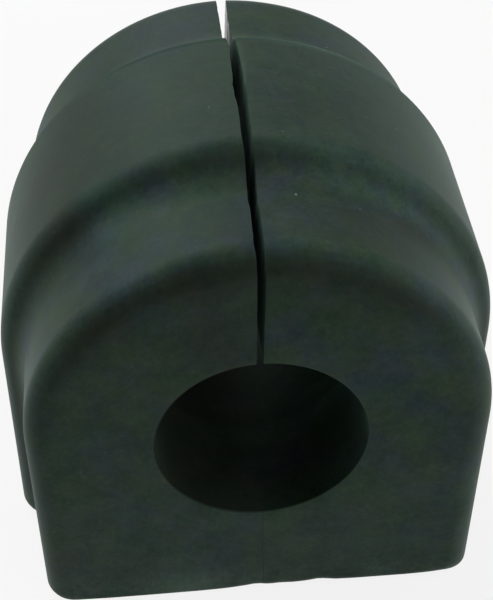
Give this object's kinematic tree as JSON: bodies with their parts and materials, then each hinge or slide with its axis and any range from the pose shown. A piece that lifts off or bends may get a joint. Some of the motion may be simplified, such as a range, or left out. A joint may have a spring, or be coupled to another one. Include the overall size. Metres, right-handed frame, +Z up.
{
  "type": "sway bar bushing",
  "caption": "Rubber D-shaped sway bar bushing: round arch on a flat base, narrower collars at both ends, and a bore with a slit above it so that it opens on to the bar.",
  "frame": {"origin": "middle of the flat base, under the middle of the bore", "axes": "+Y along the bore towards the back face, +X across the part to its right seen from the front, +Z up from the flat base towards the split"},
  "size_m": [0.0616, 0.0562, 0.0587],
  "materials": {
    "moulded_rubber": "matt dark grey-green moulded rubber"
  },
  "bodies": {
    "root": {"bushing_body": "moulded_rubber"}
  },
  "joints": []
}
